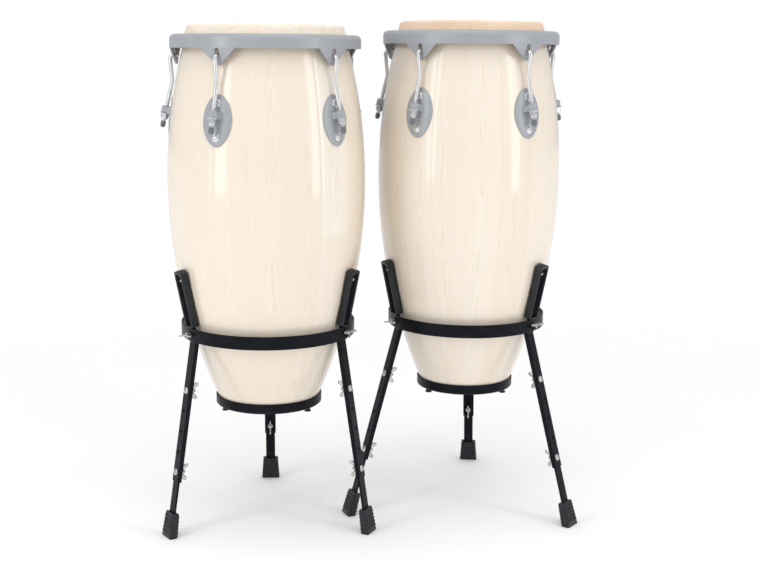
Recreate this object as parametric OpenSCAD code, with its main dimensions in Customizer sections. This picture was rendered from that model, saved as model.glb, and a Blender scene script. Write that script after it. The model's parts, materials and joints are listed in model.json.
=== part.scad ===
// A pair of conga drums, each standing in its own height-adjustable basket stand.
// The larger drum is called "conga" and the smaller one "quinto".
// Millimetres, +Z up, floor at z = 0, origin on the floor under the middle of the pair's outline.
// -Y is the player's side. Azimuths are measured from -Y towards +X.

/* [Drum bodies] */
// Height of each drum, from the bottom band to the playing surface
drum_h = 698; // [640:1:760]
// Largest outside radius of the conga's shell
conga_belly_r = 180.8; // [170:0.1:195]
// Largest outside radius of the quinto's shell
quinto_belly_r = 172.2; // [162:0.1:185]
// Radius of the arc that the conga's staves are bent to
conga_stave_arc_r = 965.6; // [900:1:1100]
// Radius of the arc that the quinto's staves are bent to
quinto_stave_arc_r = 990.8; // [900:1:1100]
// Height of the widest point above the bottom band
belly_h = 414; // [380:1:440]
// Thickness of the glued staves
shell_wall = 11; // [8:0.5:14]

/* [Head and rim] */
// Thickness of the rawhide head
skin_t = 1.8; // [1.2:0.1:2.5]
// Outside radius of the conga's rim
conga_rim_r = 172; // [168:0.5:176]
// Outside radius of the quinto's rim
quinto_rim_r = 165; // [161:0.5:169]
// Height of the rim's skirt
rim_h = 24; // [20:1:28]
// How far the playing surface stands above the rim
head_rise = 17; // [14:1:20]
// Sheet thickness of the rim
rim_t = 3; // [2.5:0.5:4]

/* [Tuning hardware] */
// Number of tuning lugs on each drum
lug_count = 5; // [5:1:5]
// Azimuth of the conga's first lug
conga_lug_az = -23.6; // [-36:0.1:36]
// Azimuth of the quinto's first lug
quinto_lug_az = -37.2; // [-38:0.1:36]
// Height of the side plates' centre above the bottom band
plate_mid_h = 535; // [520:1:545]
// Diameter of the tuning hooks
hook_d = 7; // [6:0.5:8]
// Lean of the hook's threaded end away from the shell
hook_lean = 14; // [12:0.5:15]

/* [Basket stands] */
// Height of the underside of the conga's bottom band above the floor
conga_seat_z = 227; // [220:1:236]
// Height of the underside of the quinto's bottom band above the floor
quinto_seat_z = 238; // [232:1:246]
// Underside of the basket ring above the floor
ring_z = 362; // [358:1:368]
// Height of the basket ring's strap
ring_h = 24; // [20:1:26]
// Outward lean of the conga stand's legs
conga_leg_lean = 9.2; // [6:0.1:12]
// Outward lean of the quinto stand's legs
quinto_leg_lean = 15.8; // [10:0.1:17]
// Azimuth of the conga stand's first leg
conga_leg_az = -55.3; // [-70:0.1:-50]
// Azimuth of the quinto stand's first leg
quinto_leg_az = -66.9; // [-70:0.1:-50]
// Distance between the holes in a leg
hole_pitch = 38; // [34:1:40]

/* [Placing] */
// Distance from the conga's axis to the quinto's, sideways
spread_x = 376.8; // [376:1:700]
// Distance from the conga's axis to the quinto's, front to back
spread_y = 97.2; // [60:1:120]

/* [Hidden] */
$fn = 64;
SHELL_STEPS = 30;    // straight stretches that stand for the staves' arc
FIT = 0.15;          // gap between pieces that touch
RUN = 0.1;           // gap round a pin or thread that turns
HOLE = 0.4;          // how much wider a drilled hole is than its bolt
BIG = 600;           // size of cutting blocks
middle = [7.84, 35.30]; // the outline's middle, seen from midway between the two drum axes

PARTS = concat(
  ["shell", "head", "flesh_hoop", "rim", "lug_plates", "lug_bolts", "lug_bolt_nuts",
   "bottom_band", "bumpers"],
  [for (i = [1 : lug_count]) str("tuning_hook_", i)],
  [for (i = [1 : lug_count]) str("tuning_nut_", i)],
  ["stand_ring", "upper_legs", "pads", "clamp_bolts", "wing_nuts"],
  [for (i = [1 : 3]) str("lower_leg_", i)],
  [for (i = [1 : 3]) str("foot_", i)]);
NODES = [for (drum = ["conga", "quinto"]) for (part = PARTS) str(drum, "_", part)];
node = "all";

// A drum and its stand are described by one list, read through the functions below it.
//        name      belly radius    stave arc radius    rim radius    first lug
//        seat height      leg lean         first leg      bumper turn  place
CONGA = ["conga", conga_belly_r, conga_stave_arc_r, conga_rim_r, conga_lug_az,
         conga_seat_z, conga_leg_lean, conga_leg_az, -1, [-spread_x, -spread_y] / 2 - middle];
QUINTO = ["quinto", quinto_belly_r, quinto_stave_arc_r, quinto_rim_r, quinto_lug_az,
          quinto_seat_z, quinto_leg_lean, quinto_leg_az, 0, [spread_x, spread_y] / 2 - middle];
function belly_r(d) = d[1];
function arc_r(d) = d[2];
function rim_r(d) = d[3];
function lug_az(d, i) = d[4] + (i - 1) * 360 / lug_count;
function seat_z(d) = d[5];
function leg_lean(d) = d[6];
function leg_az(d, i) = d[7] + (i - 1) * 120;
function bumper_az(d, i) = d[8] - 60 + (i - 1) * 120;
function place(d) = d[9];
function shown(d, part) = node == "all" || node == str(d[0], "_", part);

// Outside radius of a shell at height h above the bottom band, and how steeply it faces up there
function shell_r(d, h) = belly_r(d) - arc_r(d) + sqrt(pow(arc_r(d), 2) - pow(h - belly_h, 2));
function shell_tilt(d, h) = asin((h - belly_h) / arc_r(d));
// Points up the staves' arc from h0 to h1, moved out by off
function stave_line(d, h0, h1, off, steps = SHELL_STEPS) =
  [for (k = [0 : steps]) let (h = h0 + (h1 - h0) * k / steps) [shell_r(d, h) + off, h]];
function reversed(v) = [for (k = [len(v) - 1 : -1 : 0]) v[k]];

steel_black = [0.03, 0.035, 0.045];
rubber_black = [0.05, 0.055, 0.06];
satin_grey = [0.63, 0.65, 0.67];
chrome = [0.75, 0.76, 0.78];
zinc = [0.72, 0.70, 0.66];
birch = [0.93, 0.86, 0.74];
rawhide = [0.90, 0.80, 0.66];

module around(azimuth) rotate([0, 0, azimuth - 90]) children();   // local +X points outward
module seated(d) translate([0, 0, seat_z(d)]) children();         // z = 0 at the band's underside
module ring_of(profile) rotate_extrude() polygon(profile);

// ---- Shell and what closes its ends ----

shell_top_h = drum_h - skin_t - FIT;
band_h = 18;
band_floor = 4;                          // thickness of the band under the shell
band_wall = 3.4;
shell_foot_h = band_floor + FIT;
edge_round = 5;                          // radius of the bearing edge

module shell(d) seated(d) color(birch) difference() {
  outside = stave_line(d, shell_foot_h, shell_top_h - edge_round, 0);
  inside = stave_line(d, shell_foot_h, shell_top_h - edge_round, -shell_wall);
  top_r = shell_r(d, shell_top_h - edge_round);
  union() {
    ring_of(concat(outside, reversed(inside)));
    // The bearing edge: rounded outside, with a slope inside
    rotate_extrude() intersection() {
      translate([top_r - edge_round, shell_top_h - edge_round]) circle(edge_round);
      translate([top_r - shell_wall, shell_top_h - edge_round]) square([shell_wall + 1, edge_round + 1]);
    }
  }
  for (i = [1 : lug_count]) around(lug_az(d, i)) for (h = plate_bolt_h) bolt_axis(d, h)
    cylinder(d = lug_bolt_d + HOLE, h = 60, center = true);
}

module bottom_band(d) seated(d) color(rubber_black) {
  band_r = shell_r(d, band_h) + band_wall;
  inner = shell_r(d, 0) - shell_wall;
  ring_of(concat([[inner, 0], [band_r - 2, 0], [band_r, 2], [band_r, band_h - 1], [band_r - 1, band_h]],
                 reversed(stave_line(d, band_floor, band_h, FIT, 3)), [[inner, band_floor]]));
}

module bumpers(d) seated(d) color(rubber_black)
  for (i = [1 : 3]) around(bumper_az(d, i)) translate([shell_r(d, 0) + 1, 0, -8]) {
    cylinder(d = 10, h = 8);
    cylinder(d = 13, h = 2.5);
  }

// ---- Head: rawhide lapped round a steel flesh hoop ----

hoop_r = 4;
rim_top_h = drum_h - head_rise;
rim_bottom_h = rim_top_h - rim_h;
hoop_h = rim_top_h - rim_t - FIT - skin_t - hoop_r;      // the rim's flange rests on the lap
collar_gap = 0.4;                        // between the head's collar and the shell
rim_gap = 0.6;                           // between the head's collar and the rim
function hoop_ring_r(d) = shell_r(d, hoop_h) + collar_gap + 0.2 + skin_t + hoop_r;

module flesh_hoop(d) seated(d) color(zinc)
  rotate_extrude() translate([hoop_ring_r(d), hoop_h]) circle(hoop_r);

module head(d) seated(d) color(rawhide) {
  corner_h = shell_top_h - edge_round;
  corner = edge_round + FIT;
  corner_r = shell_r(d, corner_h) + FIT;
  // Playing surface, then its rounded corner
  translate([0, 0, drum_h - skin_t]) cylinder(r = corner_r / 2, h = skin_t);
  rotate_extrude() {
    intersection() {
      difference() {
        rim_block(corner_r + skin_t, 30, corner_h - 20, drum_h, corner + skin_t);
        rim_block(corner_r, 29, corner_h - 21, drum_h - skin_t, corner);
      }
      translate([30, corner_h]) square(200);
    }
    // Collar down the shell's side
    polygon(concat(stave_line(d, hoop_h, corner_h + 0.5, collar_gap, 4),
                   reversed(stave_line(d, hoop_h, corner_h + 0.5, collar_gap + skin_t, 4))));
    // Lap round the flesh hoop
    difference() {
      translate([hoop_ring_r(d), hoop_h]) circle(hoop_r + FIT + skin_t - 0.05);
      translate([hoop_ring_r(d), hoop_h]) circle(hoop_r + FIT);
      // No rawhide inside the middle of the collar
      translate([shell_r(d, hoop_h) + collar_gap + skin_t / 2 - 20, hoop_h - 20]) square([20, 40]);
    }
  }
}

// ---- Rim with one slotted ear for each tuning hook ----

rim_round = 9;
ear_half_w = 33;
ear_drop = 29;
ear_tip_r = 7;
ear_lean = 10;                           // the ears slope in towards the shell
ear_root = 5;                            // how far an ear runs up inside the skirt
slot_w = hook_d + 1.4;
slot_low_h = rim_bottom_h - 12;          // centre of the slot's lower end, where the hook pulls down
slot_high_h = rim_bottom_h - 4;
hook_top_h = slot_low_h - (slot_w - hook_d) / 2 + RUN;

// Half of a rounded rim block in section, from the inner edge to outer radius r
module rim_block(r, inner, low, high, round) {
  translate([inner, low]) square([r - round - inner, high - low]);
  translate([inner, low]) square([r - inner, high - round - low]);
  translate([r - round, high - round]) circle(round);
}

// Point where a line from p touches the circle of radius r round c, on the side given by s
function tangent_point(p, c, r, s) =
  let (v = p - c, t = atan2(v[1], v[0]) + s * acos(r / norm(v))) c + r * [cos(t), sin(t)];

module ear_outline() {
  tip = [0, ear_tip_r - ear_drop];
  right = [ear_half_w, 0];
  left = [-ear_half_w, 0];
  polygon([left, tangent_point(left, tip, ear_tip_r, 1), tangent_point(right, tip, ear_tip_r, -1), right,
           [ear_half_w, 2 * ear_root], [-ear_half_w, 2 * ear_root]]);
  translate(tip) circle(ear_tip_r);
}

// Section of an ear, a hair thinner than the skirt that it runs into
function ear_section(d) =
  let (face = rim_r(d) - 0.06, back = rim_r(d) - rim_t + 0.06, drop = ear_drop + 1,
       lean_in = drop * tan(ear_lean))
  [[back - lean_in, rim_bottom_h - drop], [face - lean_in, rim_bottom_h - drop], [face, rim_bottom_h],
   [face, rim_bottom_h + ear_root], [back, rim_bottom_h + ear_root], [back, rim_bottom_h]];

module rim(d) seated(d) color(satin_grey) {
  inner = shell_r(d, rim_top_h - rim_t) + collar_gap + skin_t + rim_gap;
  difference() {
    union() {
      around(lug_az(d, 1) + 180 / lug_count) rotate_extrude() difference() {
        rim_block(rim_r(d), inner, rim_bottom_h, rim_top_h, rim_round);
        rim_block(rim_r(d) - rim_t, inner - 1, rim_bottom_h - 1, rim_top_h - rim_t, rim_round - rim_t);
      }
      for (i = [1 : lug_count]) around(lug_az(d, i)) intersection() {
        rotate([0, 0, 180]) ring_of(ear_section(d));
        translate([rim_r(d) - 40, 0, rim_bottom_h]) rotate([90, 0, 90]) linear_extrude(60) ear_outline();
      }
    }
    for (i = [1 : lug_count]) around(lug_az(d, i)) {
      for (h = [slot_low_h, slot_high_h]) translate([rim_r(d) - 20, 0, h]) rotate([0, 90, 0])
        cylinder(d = slot_w, h = 40);
      translate([rim_r(d) - 20, -slot_w / 2, slot_low_h]) cube([40, slot_w, slot_high_h - slot_low_h]);
    }
  }
}

// ---- Side plates ----

plate_h = 97;                            // where the plate's two arcs cross; the tips are cut shorter
plate_tip_cut = 2.5;
plate_w = 56;
plate_t = 4;
lug_bolt_d = 6;
lug_bolt_head = [16, 3];                 // diameter and height
bolt_out = 28.5;                         // from the plate's centre to each bolt
washer_gap = 0.7;                        // between a flat washer and the shell's hollow inside
plate_bolt_h = [plate_mid_h - bolt_out, plate_mid_h + bolt_out];
block_up = 10.5;                         // from the plate's centre to the block that the hook passes through
ear_mid_h = plate_mid_h + block_up;
block_h = 12;
block_w = 22;
block_nose_d = 17;
hook_out = 15;                           // from the shell's skin to the hook's axis at the block
function hook_r(d) = shell_r(d, ear_mid_h) + hook_out;

// Places children on the shell's skin at height h, with +Z straight out of the skin
module bolt_axis(d, h) translate([shell_r(d, h), 0, h]) rotate([0, 90 - shell_tilt(d, h), 0]) children();
// Places children at the block, with +Z up along the hook's threaded end
module hook_axis(d) translate([hook_r(d), 0, ear_mid_h]) rotate([0, -hook_lean, 0]) children();

// Pointed oval: two arcs that cross at the top and bottom
module plate_outline() {
  arc = (pow(plate_h / 2, 2) + pow(plate_w / 2, 2)) / plate_w;
  intersection() {
    translate([arc - plate_w / 2, 0]) circle(arc, $fn = 160);
    translate([plate_w / 2 - arc, 0]) circle(arc, $fn = 160);
    square([plate_w, plate_h - 2 * plate_tip_cut], center = true);
  }
}

module lug_plates(d) seated(d) color(satin_grey) for (i = [1 : lug_count]) around(lug_az(d, i))
  difference() {
    low = plate_mid_h - plate_h;
    high = plate_mid_h + plate_h;
    union() {
      intersection() {
        ring_of(concat(stave_line(d, low, high, FIT, 10), reversed(stave_line(d, low, high, plate_t, 10))));
        translate([120, 0, plate_mid_h]) rotate([90, 0, 90]) linear_extrude(100) plate_outline();
      }
      intersection() {
        hook_axis(d) translate([-30, -block_w / 2, -block_h / 2])
          cube([30 + block_nose_d / 2, block_w, block_h]);
        difference() {
          cylinder(r = 260, h = 2 * BIG);
          ring_of(concat([[0, low]], stave_line(d, low, high, plate_t - 1, 10), [[0, high]]));
        }
        // Rounded nose, a neck as wide as the nose, and a wider root
        hook_axis(d) translate([0, 0, -30]) union() {
          cylinder(d = block_nose_d, h = 60);
          translate([-12, -block_nose_d / 2, 0]) cube([12, block_nose_d, 60]);
          translate([-40, -block_w / 2, 0]) cube([33, block_w, 60]);
        }
      }
    }
    hook_axis(d) cylinder(d = hook_d + 2 * RUN + HOLE, h = 60, center = true);
    for (h = plate_bolt_h) bolt_axis(d, h) cylinder(d = lug_bolt_d + HOLE, h = 60, center = true);
  }

// Round-headed bolt standing in +Z with the underside of its head at z = 0
module round_bolt(d, length, head_d, head_h) {
  ball_r = (pow(head_d / 2, 2) + pow(head_h, 2)) / (2 * head_h);
  intersection() {
    translate([0, 0, head_h - ball_r]) sphere(ball_r);
    cylinder(d = head_d, h = head_h);
  }
  translate([0, 0, -length]) cylinder(d = d, h = length + 0.5);
}

module lug_bolts(d) seated(d) color(chrome) for (i = [1 : lug_count]) around(lug_az(d, i))
  for (h = plate_bolt_h) bolt_axis(d, h) translate([0, 0, plate_t + FIT]) difference() {
    round_bolt(lug_bolt_d, plate_t + shell_wall + 10, lug_bolt_head[0], lug_bolt_head[1]);
    // Cross recess
    for (turn = [20, 110]) rotate([0, 0, turn]) translate([-4, -0.8, lug_bolt_head[1] / 2])
      cube([8, 1.6, lug_bolt_head[1]]);
  }

module lug_bolt_nuts(d) seated(d) color(zinc) for (i = [1 : lug_count]) around(lug_az(d, i))
  for (h = plate_bolt_h) bolt_axis(d, h) translate([0, 0, -shell_wall - washer_gap]) {
    translate([0, 0, -1.5]) difference() {
      cylinder(d = 16, h = 1.5);
      translate([0, 0, -1]) cylinder(d = lug_bolt_d + HOLE, h = 4);
    }
    translate([0, 0, -6.7]) difference() {
      cylinder(d = 11.5, h = 5, $fn = 6);
      translate([0, 0, -1]) cylinder(d = lug_bolt_d + 2 * RUN, h = 7);
    }
  }

// ---- Tuning hooks and their nuts ----

hook_low = 26;         // from the block's centre down to the hook's bottom end, along the thread
hook_knee = 54;        // from the block's centre up to the knee
hook_knee_bend = 22;   // bend radius at the knee
hook_top_bend = 7;     // bend radius at the rim
hook_top_out = 2;      // from the rim's face to the near side of the hook
hook_end_in = 12;      // how far the hook's top end reaches in past the rim's face
cap_h = 7.4;
cap_floor = 3;         // rubber under the end of the hook
cap_d = hook_d + 2;
nut_flange = [20, 1.8];                  // diameter and height
nut_hex_h = 10;
nut_h = 12;

function unit(v) = v / norm(v);
function turned(v) = [-v[1], v[0]];
// Length that a bend of radius b takes off each side of the corner between directions u and v
function corner_cut(u, v, b) = b * tan(acos(u * v) / 2);

// Round bar along points p in the XZ plane, with a bend radius for each corner between them
module bent_bar(p, d, bends) {
  n = len(p);
  way = [for (k = [0 : n - 2]) unit(p[k + 1] - p[k])];
  cut = [for (k = [0 : n - 1]) k == 0 || k == n - 1 ? 0 : corner_cut(way[k - 1], way[k], bends[k - 1])];
  rotate([90, 0, 0]) {
    // Straight stretches run a little way into the bends, which are a hair fuller
    for (k = [0 : n - 2]) {
      before = cut[k] > 0 ? 0.4 : 0;
      after = cut[k + 1] > 0 ? 0.4 : 0;
      translate(p[k] + (cut[k] - before) * way[k]) rotate([0, 0, atan2(way[k][1], way[k][0])])
        rotate([0, 90, 0]) cylinder(d = d, h = norm(p[k + 1] - p[k]) - cut[k] - cut[k + 1] + before + after);
    }
    for (k = [1 : n - 2]) {
      side = way[k - 1][0] * way[k][1] - way[k - 1][1] * way[k][0] > 0 ? 1 : -1;
      centre = p[k] - cut[k] * way[k - 1] + side * bends[k - 1] * turned(way[k - 1]);
      first = -side * turned(side > 0 ? way[k - 1] : way[k]);
      translate(centre) rotate([0, 0, atan2(first[1], first[0])])
        rotate_extrude(angle = acos(way[k - 1] * way[k])) translate([bends[k - 1], 0]) circle(d = d + 0.04);
    }
  }
}

module tuning_hook(d, i) seated(d) around(lug_az(d, i)) {
  along = [-sin(hook_lean), cos(hook_lean)];
  block = [hook_r(d), ear_mid_h];
  top_r = rim_r(d) + hook_top_out + hook_d / 2;
  color(chrome) bent_bar([block - hook_low * along, block + hook_knee * along, [top_r, hook_top_h],
                          [rim_r(d) - hook_end_in, hook_top_h]], hook_d, [hook_knee_bend, hook_top_bend]);
  color(rubber_black) hook_axis(d) translate([0, 0, -hook_low - cap_floor]) difference() {
    union() {
      cylinder(d = cap_d, h = cap_h);
      intersection() {
        sphere(d = cap_d);
        translate([0, 0, -cap_d]) cylinder(d = 2 * cap_d, h = cap_d + 0.5);
      }
    }
    translate([0, 0, cap_floor - FIT]) cylinder(d = hook_d + FIT, h = cap_h);
  }
}

module tuning_nut(d, i) seated(d) around(lug_az(d, i)) color(chrome)
  hook_axis(d) translate([0, 0, -block_h / 2 - FIT]) difference() {
    union() {
      translate([0, 0, -nut_flange[1]]) cylinder(d = nut_flange[0], h = nut_flange[1]);
      translate([0, 0, -nut_hex_h]) cylinder(d = 14.8, h = nut_hex_h - 1, $fn = 6);
      translate([0, 0, -nut_h]) cylinder(d = 11.2, h = nut_h - 1);
    }
    translate([0, 0, -nut_h - 5]) cylinder(d = hook_d + 2 * RUN, h = nut_h + 10);
  }

// ---- Stand: ring, three arm-and-leg pieces, pads, telescoping lower legs ----

strap_w = 20;
strap_t = 3;
pad_w = 29;
pad_rubber = 5.5;                        // rubber between the strap and the shell
pad_lip = 6;                             // how far the pad's sides stand past the strap
pad_arch = 5;                            // rise of the pad's arched top
strap_arch = 9.5;                        // rise of the strap's round end
strap_short = 4;                         // from the pad's top down to the strap's
strap_below = 44;                        // how far the strap runs down below its bend
pad_low_z = ring_z + ring_h + 4;
pad_len = 106;
bend_z = ring_z + ring_h + 2;            // where the arm starts to lean outward
pad_mid_z = pad_low_z + pad_len / 2;
clamp_d = 6;                             // all the stand's bolts
clamp_head = [13, 3.6];                  // diameter and height
clamp_play = 0.5;                        // how much wider the bolt holes are
wing_boss = [13, 10, 9];                 // a wing nut's boss: lower and upper diameter, height
wing = [8, 2.8, 15];                     // each wing: width, thickness, length to its round end's centre
wing_lean = 36;                          // of each wing from the nut's axis

function pad_tilt(d) = -shell_tilt(d, pad_mid_z - seat_z(d));
// Radius of the arm strap's middle where it starts to lean, so that the pads just meet the shell
function arm_r(d) = shell_r(d, pad_mid_z - seat_z(d))
  + (pad_rubber + 0.5 + strap_t / 2) / cos(pad_tilt(d)) - (pad_mid_z - bend_z) * tan(pad_tilt(d));
function ring_in_r(d) = arm_r(d) + strap_t / 2 + 0.5;

// Places children at the arm's bend, with +Z up the arm and +X outward
module on_arm(d) translate([arm_r(d), 0, bend_z]) rotate([0, pad_tilt(d), 0]) children();

module stand_ring(d) color(steel_black) difference() {
  r = ring_in_r(d);
  rotate_extrude() translate([r, ring_z]) {
    translate([0, 0.8]) square([strap_t, ring_h - 1.6]);
    translate([0.8, 0]) square([strap_t - 1.6, ring_h]);
    for (x = [0.8, strap_t - 0.8]) for (z = [0.8, ring_h - 0.8]) translate([x, z]) circle(0.8);
  }
  for (i = [1 : 3]) around(leg_az(d, i)) ring_bolt_axis(d)
    cylinder(d = clamp_d + clamp_play, h = 40, center = true);
}

// Places children on the ring bolt's axis at the ring's outside, with +Z outward
module ring_bolt_axis(d) translate([ring_in_r(d) + strap_t, 0, ring_z + ring_h / 2]) rotate([0, 90, 0])
  children();

leg_top_z = ring_z - 2;
leg_w = 22;
leg_depth = 8;
leg_wall = 1.5;
slide_gap = 0.2;
bar_w = leg_w - 2 * leg_wall - 2 * slide_gap;
bar_t = 4;                               // the lower leg is a flat bar
bar_off = leg_wall + slide_gap;          // from the upper leg's outer face to the bar's
bolt_len = 18;                           // under the head
first_hole = 90;                         // down the leg from its top to the upper clamp
clamp_holes = 5;
leg_end = first_hole + (clamp_holes - 1) * hole_pitch + 18;
lower_top = first_hole - 17;
function clamp_at() = [first_hole, first_hole + (clamp_holes - 1) * hole_pitch];
function leg_r(d) = arm_r(d) + strap_t / 2 - 0.4;        // radius of the leg's outer face at its top
function floor_at(d) = leg_top_z / cos(leg_lean(d));     // down the leg from its top to the floor

// Places children at the leg's top, with +Z down the leg, +X outward and the outer face at x = 0
module on_leg(d) translate([leg_r(d), 0, leg_top_z]) mirror([0, 0, 1]) rotate([0, leg_lean(d), 0]) children();

// Section of a folded channel: w wide, deep along -X from x = 0, closed at x = 0
module channel(w, deep, wall) {
  soft = 1.2;
  difference() {
    union() {
      translate([-deep, -w / 2]) square([deep - soft, w]);
      translate([-soft - 0.01, -w / 2 + soft]) square([soft + 0.01, w - 2 * soft]);
      for (s = [-1, 1]) translate([-soft, s * (w / 2 - soft)]) circle(soft);
    }
    translate([-deep - 1, -w / 2 + wall]) square([deep + 1 - wall, w - 2 * wall]);
  }
}

// Arm strap: upright against the ring, then leaning out behind the pad, with a round end
module arm(d) {
  lean = pad_tilt(d);
  mitre = strap_t / 2 / cos(lean / 2) * [cos(lean / 2), -sin(lean / 2)];
  side = strap_t / 2 * [cos(lean), -sin(lean)];
  foot = [arm_r(d), bend_z - strap_below];
  bend = [arm_r(d), bend_z];
  tip = bend + pad_len * [sin(lean), cos(lean)];
  intersection() {
    rotate([90, 0, 0]) linear_extrude(strap_w + 4, center = true)
      polygon([foot - [strap_t / 2, 0], foot + [strap_t / 2, 0], bend + mitre,
               tip + side, tip - side, bend - mitre]);
    on_arm(d) translate([-30, 0, -60]) rotate([90, 0, 90]) linear_extrude(60)
      arch(strap_w, 60 + pad_len - strap_short, strap_arch);
  }
}

module upper_legs(d) color(steel_black) for (i = [1 : 3]) around(leg_az(d, i)) difference() {
  union() {
    arm(d);
    // Leg channel, cut level under the ring
    intersection() {
      on_leg(d) translate([0, 0, -10]) linear_extrude(leg_end + 10) channel(leg_w, leg_depth, leg_wall);
      translate([0, -50, -10]) cube([BIG, 100, leg_top_z + 10]);
    }
  }
  ring_bolt_axis(d) cylinder(d = clamp_d + clamp_play, h = 40, center = true);
  on_leg(d) for (k = [0 : clamp_holes - 1]) translate([0, 0, first_hole + k * hole_pitch]) rotate([0, 90, 0])
    cylinder(d = clamp_d + clamp_play, h = 4 * leg_wall, center = true);
}

// Front outline of a pad or of the pocket in it: a rectangle with an arched top
module arch(w, h, rise) {
  r = (pow(w / 2, 2) + pow(rise, 2)) / (2 * rise);
  translate([-w / 2, 0]) square([w, h - rise]);
  intersection() {
    translate([0, h - r]) circle(r);
    translate([-w / 2, h - rise - 0.01]) square([w, rise + 1]);
  }
}

module pads(d) color(rubber_black) for (i = [1 : 3]) around(leg_az(d, i)) on_arm(d) difference() {
  low = (pad_low_z - bend_z) / cos(pad_tilt(d));
  inside_x = -strap_t / 2 - pad_rubber;
  translate([inside_x, 0, low]) rotate([90, 0, 90])
    linear_extrude(pad_rubber + strap_t + pad_lip) arch(pad_w, pad_len, pad_arch);
  // Pocket for the strap, open outward and below
  translate([-strap_t / 2 - FIT, 0, low - 1]) rotate([90, 0, 90])
    linear_extrude(BIG) arch(strap_w + 2 * FIT, pad_len - low + 0.5, strap_arch);
}

// Leg bolts have their heads outside and reach inward past their wing nuts, and ring bolts the reverse
module clamp_bolts(d) color(zinc) for (i = [1 : 3]) around(leg_az(d, i)) {
  on_leg(d) for (s = clamp_at()) translate([FIT, 0, s]) rotate([0, 90, 0])
    round_bolt(clamp_d, bolt_len, clamp_head[0], clamp_head[1]);
  ring_bolt_axis(d) translate([0, 0, -2 * strap_t - 1 - FIT]) rotate([180, 0, 0])
    round_bolt(clamp_d, bolt_len, clamp_head[0], clamp_head[1] - 0.6);
}

// Wing nut standing in +Z on z = 0
module wing_nut() difference() {
  union() {
    cylinder(d1 = wing_boss[0], d2 = wing_boss[1], h = wing_boss[2]);
    for (s = [0, 180]) rotate([0, 0, s]) translate([wing[0] / 2, 0, 2]) rotate([0, wing_lean, 0]) {
      translate([-wing[0] / 2, -wing[1] / 2, 0]) cube(wing);
      translate([0, 0, wing[2]]) rotate([90, 0, 0]) cylinder(d = wing[0], h = wing[1], center = true);
    }
  }
  translate([0, 0, -1]) cylinder(d = clamp_d + 2 * RUN, h = 30);
  translate([0, 0, -20]) cylinder(d = 60, h = 20);
}

module wing_nuts(d) color(zinc) for (i = [1 : 3]) around(leg_az(d, i)) {
  on_leg(d) for (s = clamp_at()) translate([-bar_off - bar_t - FIT, 0, s]) rotate([0, -90, 0])
    wing_nut();
  ring_bolt_axis(d) translate([0, 0, FIT]) rotate([0, 0, 90]) wing_nut();
}

// Lower leg: a flat bar inside the upper leg, slotted from its top end
module lower_leg(d, i) color(steel_black) around(leg_az(d, i)) on_leg(d) difference() {
  length = floor_at(d) - foot_floor - lower_top;
  slot_end = clamp_at()[1] + 10;
  slot = clamp_d + 2 * HOLE;
  translate([-bar_off - bar_t, -bar_w / 2, lower_top]) cube([bar_t, bar_w, length]);
  translate([-20, -slot / 2, lower_top - 5]) cube([40, slot, slot_end - lower_top + 5]);
  translate([-20, 0, slot_end]) rotate([0, 90, 0]) cylinder(d = slot, h = 40);
}

foot_len = 46;
foot_top = [30, 14];                     // across and through, at the top
foot_sole = [38, 16];
foot_floor = 12;                         // rubber under the end of the lower leg

// Rubber foot: wider at the sole, cut level with the floor, with a pocket for the lower leg
module foot(d, i) color(rubber_black) around(leg_az(d, i)) difference() {
  mid = -bar_off - bar_t / 2;
  top_s = floor_at(d) - foot_len;
  low_s = floor_at(d) + 12;               // past the floor, where it's cut level
  intersection() {
    on_leg(d) translate([mid, 0, 0]) {
      intersection() {
        rotate([90, 0, 90]) linear_extrude(60, center = true)
          foot_side(foot_top[0], foot_sole[0], top_s, low_s);
        rotate([90, 0, 0]) linear_extrude(60, center = true)
          foot_side(foot_top[1], foot_sole[1], top_s, low_s);
      }
    }
    translate([0, -50, 0]) cube([BIG, 100, BIG]);
  }
  on_leg(d) translate([-bar_off - bar_t - FIT, -bar_w / 2 - FIT, top_s - 1])
    cube([bar_t + 2 * FIT, bar_w + 2 * FIT, 1 + foot_len - foot_floor + FIT]);
}

// One side of a foot: a strip from s0 to s1 down the leg, with chamfered top corners
module foot_side(w0, w1, s0, s1) {
  nip = 2.5;
  polygon([[-w0 / 2 + nip, s0], [w0 / 2 - nip, s0], [w0 / 2, s0 + nip], [w1 / 2, s1], [-w1 / 2, s1],
           [-w0 / 2, s0 + nip]]);
}

for (d = [CONGA, QUINTO]) translate(place(d)) {
  if (shown(d, "shell")) shell(d);
  if (shown(d, "head")) head(d);
  if (shown(d, "flesh_hoop")) flesh_hoop(d);
  if (shown(d, "rim")) rim(d);
  if (shown(d, "lug_plates")) lug_plates(d);
  if (shown(d, "lug_bolts")) lug_bolts(d);
  if (shown(d, "lug_bolt_nuts")) lug_bolt_nuts(d);
  if (shown(d, "bottom_band")) bottom_band(d);
  if (shown(d, "bumpers")) bumpers(d);
  for (i = [1 : lug_count]) {
    if (shown(d, str("tuning_hook_", i))) tuning_hook(d, i);
    if (shown(d, str("tuning_nut_", i))) tuning_nut(d, i);
  }
  if (shown(d, "stand_ring")) stand_ring(d);
  if (shown(d, "upper_legs")) upper_legs(d);
  if (shown(d, "pads")) pads(d);
  if (shown(d, "clamp_bolts")) clamp_bolts(d);
  if (shown(d, "wing_nuts")) wing_nuts(d);
  for (i = [1 : 3]) {
    if (shown(d, str("lower_leg_", i))) lower_leg(d, i);
    if (shown(d, str("foot_", i))) foot(d, i);
  }
}
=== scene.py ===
import json
import math

import bmesh
import bpy
from mathutils import Matrix, Vector, noise


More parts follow.
